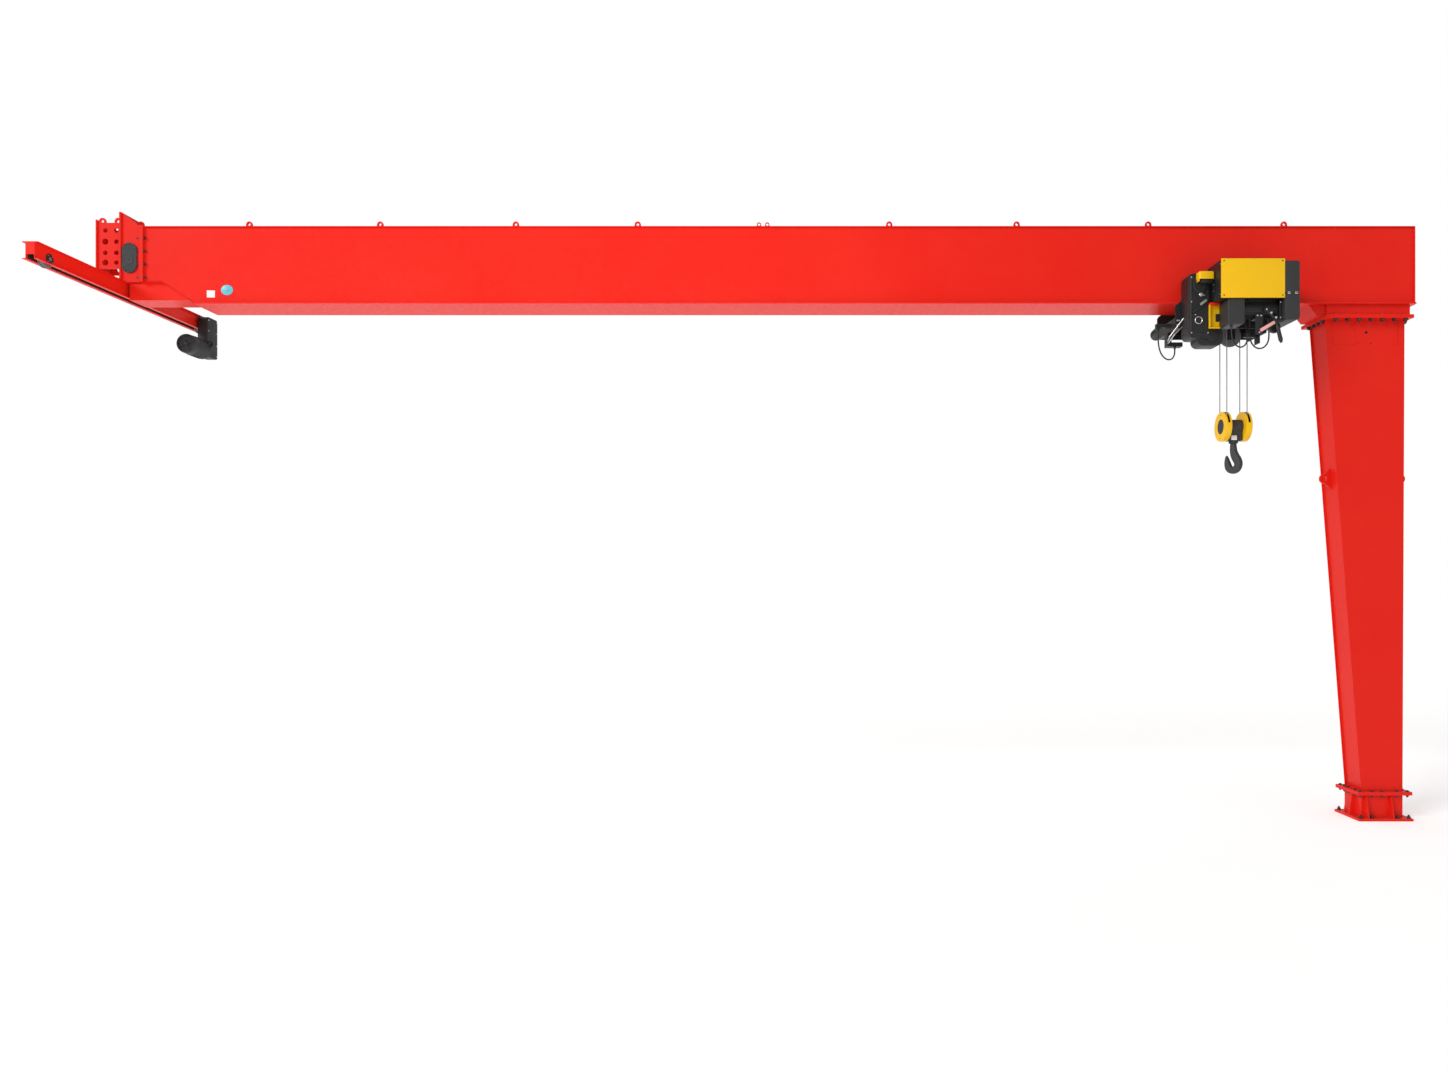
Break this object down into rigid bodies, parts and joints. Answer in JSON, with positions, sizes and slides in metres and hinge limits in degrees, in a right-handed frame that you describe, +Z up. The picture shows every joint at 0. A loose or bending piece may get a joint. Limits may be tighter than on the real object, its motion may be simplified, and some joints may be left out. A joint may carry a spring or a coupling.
{
  "type": "semi-gantry crane with a rope hoist",
  "caption": "Semi-gantry crane: a box girder on one tapered box leg and a raised end carriage, with a low-headroom rope hoist and a swivelling hook.",
  "frame": {"origin": "centre of the base plate's underside", "axes": "+Z up, +X along the girder away from the runway, +Y towards the far side from the hoist"},
  "size_m": [18.8853, 4.1, 8.69],
  "materials": {
    "red_paint": "gloss red enamel",
    "dark_machine_paint": "satin dark grey",
    "yellow_paint": "gloss yellow enamel",
    "wheel_steel": "machined treads, dark cast faces",
    "forged_black": "forged black",
    "wire_rope": "stranded bright wire",
    "black_cable": "matt rubber sheath"
  },
  "bodies": {
    "frame": {"base_plate": "red_paint", "carriage_ends": "red_paint", "carriage_top_plate": "red_paint", "carriage_webs": "red_paint", "drive_gearbox": "dark_machine_paint", "drive_motor": "dark_machine_paint", "girder_bottom_flange": "red_paint", "girder_end_plate": "red_paint", "girder_lifting_lugs": "red_paint", "girder_splice_flange": "red_paint", "girder_top_flange": "red_paint", "girder_webs": "red_paint", "hanger_end_plate": "red_paint", "hanger_plates": "red_paint", "knee": "red_paint", "leg_ears": "red_paint", "leg_foot_flange": "red_paint", "leg_head": "red_paint", "leg_head_flange": "red_paint", "leg_side_plates": "red_paint", "leg_wide_plates": "red_paint", "pedestal": "red_paint", "pedestal_gussets": "red_paint", "saddle_bracket": "red_paint", "stub_box": "red_paint", "stub_hatch_covers": "dark_machine_paint", "tall_end_plate": "red_paint"},
    "trolley": {"trolley_side_plates": "dark_machine_paint", "trolley_tie_beams": "dark_machine_paint", "drum_frames": "dark_machine_paint", "rope_drum": "wheel_steel", "sheave_beam": "dark_machine_paint", "return_sheave": "wheel_steel", "travel_drive": "dark_machine_paint", "counterweight": "dark_machine_paint", "gear_case": "dark_machine_paint", "brake_cover": "yellow_paint", "gear_guard": "yellow_paint", "control_cabinet": "dark_machine_paint", "cabinet_cover": "yellow_paint", "switch_box": "dark_machine_paint", "hoist_motor": "dark_machine_paint", "motor_hood_upper": "dark_machine_paint", "motor_hood_lower": "dark_machine_paint", "limit_lever": "dark_machine_paint", "rope_falls": "wire_rope", "tow_cable": "black_cable", "switch_cable": "black_cable", "motor_cable": "black_cable"},
    "trolley_wheels_left": {"trolley_wheels_left": "wheel_steel"},
    "trolley_wheels_right": {"trolley_wheels_right": "wheel_steel"},
    "hook_block": {"sheave_covers": "yellow_paint", "block_sheaves": "wheel_steel", "crosshead": "dark_machine_paint"},
    "hook": {"hook": "forged_black"},
    "carriage_wheel_near": {"carriage_wheel_near": "wheel_steel"},
    "carriage_wheel_far": {"carriage_wheel_far": "wheel_steel"}
  },
  "joints": [
    {"name": "trolley_traverse", "type": "slide", "parent": "frame", "child": "trolley", "axis": [1, 0, 0], "range_m": [-13, 0.4]},
    {"name": "left_wheels_roll", "type": "hinge", "parent": "trolley", "child": "trolley_wheels_left", "pos_m": [-2.83, 0, 7.4503], "axis": [0, 1, 0], "continuous": true},
    {"name": "right_wheels_roll", "type": "hinge", "parent": "trolley", "child": "trolley_wheels_right", "pos_m": [-1.79, 0, 7.4503], "axis": [0, 1, 0], "continuous": true},
    {"name": "hook_lift", "type": "slide", "parent": "trolley", "child": "hook_block", "axis": [0, 0, 1], "range_m": [-4.7, 0.45], "deforming": ["rope_falls"]},
    {"name": "hook_swivel", "type": "hinge", "parent": "hook_block", "child": "hook", "pos_m": [-2.031, 0, 5.405], "axis": [0, 0, 1], "continuous": true},
    {"name": "near_wheel_roll", "type": "hinge", "parent": "frame", "child": "carriage_wheel_near", "pos_m": [-18.04, -1.78, 7.543], "axis": [1, 0, 0], "continuous": true},
    {"name": "far_wheel_roll", "type": "hinge", "parent": "frame", "child": "carriage_wheel_far", "pos_m": [-18.04, 1.78, 7.543], "axis": [1, 0, 0], "continuous": true}
  ],
  "couplings": [
    {"joint": "left_wheels_roll", "follows": "trolley_traverse", "rad_per_m": 14.286},
    {"joint": "right_wheels_roll", "follows": "trolley_traverse", "rad_per_m": 14.286}
  ]
}
